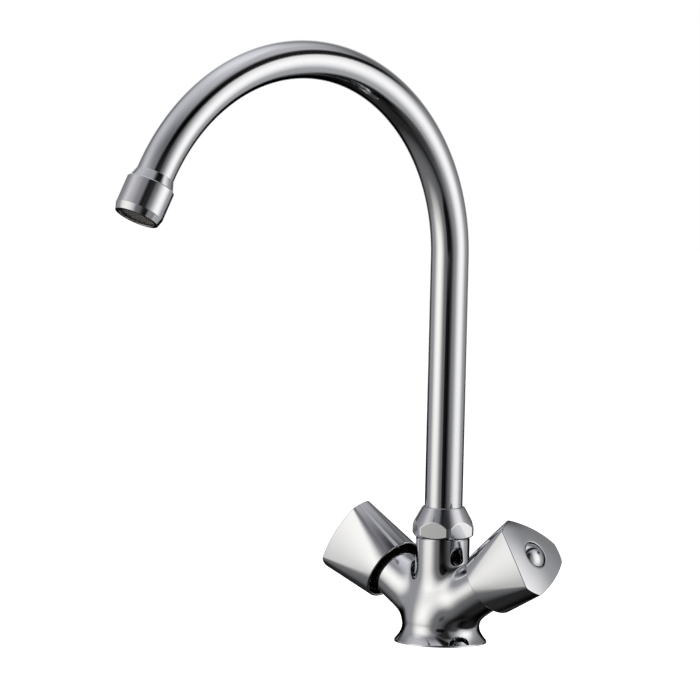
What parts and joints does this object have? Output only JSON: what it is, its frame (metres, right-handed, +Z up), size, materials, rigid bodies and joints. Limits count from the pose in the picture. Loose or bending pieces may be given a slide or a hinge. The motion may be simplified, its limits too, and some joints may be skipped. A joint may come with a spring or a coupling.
{
  "type": "two handle kitchen faucet",
  "caption": "Deck-mounted kitchen mixer tap: Y-shaped body with a three-cornered knob on each tilted valve port and a tall swan-neck spout that swivels above a coupling nut.",
  "frame": {"origin": "middle of the foot, on the deck plane", "axes": "+Z up the neck; the valve ports lie in the XZ plane, hot towards -X and cold towards +X; the spout reaches towards -Y, turned 9.9 degrees towards the hot side at rest"},
  "size_m": [0.1427, 0.2435, 0.3205],
  "materials": {
    "body_chrome": "polished",
    "spout_chrome": "polished",
    "handle_chrome": "polished",
    "brass": "turned",
    "rubber": "matt",
    "ceramic": "ground",
    "steel": "plain",
    "plastic": "moulded",
    "hot_mark": "smooth",
    "cold_mark": "smooth"
  },
  "bodies": {
    "fixed_body": {"body": "body_chrome", "base_gasket": "rubber", "spout_nut": "body_chrome", "spout_washer": "plastic", "guide_bush": "plastic", "hot_bonnet": "brass", "hot_bonnet_seal": "rubber", "hot_seat_seal": "rubber", "hot_fixed_disc": "ceramic", "cold_bonnet": "brass", "cold_bonnet_seal": "rubber", "cold_seat_seal": "rubber", "cold_fixed_disc": "ceramic"},
    "spout": {"spout_tube": "spout_chrome", "spout_ferrule": "brass", "spout_o_rings": "rubber", "nozzle_socket": "spout_chrome", "aerator_housing": "spout_chrome", "aerator_gasket": "rubber", "aerator_insert": "plastic", "aerator_screen": "steel"},
    "hot_knob": {"hot_spindle": "brass", "hot_moving_disc": "ceramic", "hot_spindle_o_rings": "rubber", "hot_spindle_clip": "steel", "hot_handle": "handle_chrome", "hot_handle_screw": "steel", "hot_button": "handle_chrome", "hot_index_dot": "hot_mark"},
    "cold_knob": {"cold_spindle": "brass", "cold_moving_disc": "ceramic", "cold_spindle_o_rings": "rubber", "cold_spindle_clip": "steel", "cold_handle": "handle_chrome", "cold_handle_screw": "steel", "cold_button": "handle_chrome", "cold_index_dot": "cold_mark"}
  },
  "joints": [
    {"name": "spout_swivel", "type": "hinge", "parent": "fixed_body", "child": "spout", "pos_m": [0, 0, 0.062], "axis": [0, 0, 1], "continuous": true},
    {"name": "hot_knob_turn", "type": "hinge", "parent": "fixed_body", "child": "hot_knob", "pos_m": [0, 0, 0.0145], "axis": [-0.8526, 0, 0.5225], "range_deg": [0, 90]},
    {"name": "cold_knob_turn", "type": "hinge", "parent": "fixed_body", "child": "cold_knob", "pos_m": [0, 0, 0.0145], "axis": [0.8526, 0, 0.5225], "range_deg": [0, 90]}
  ]
}
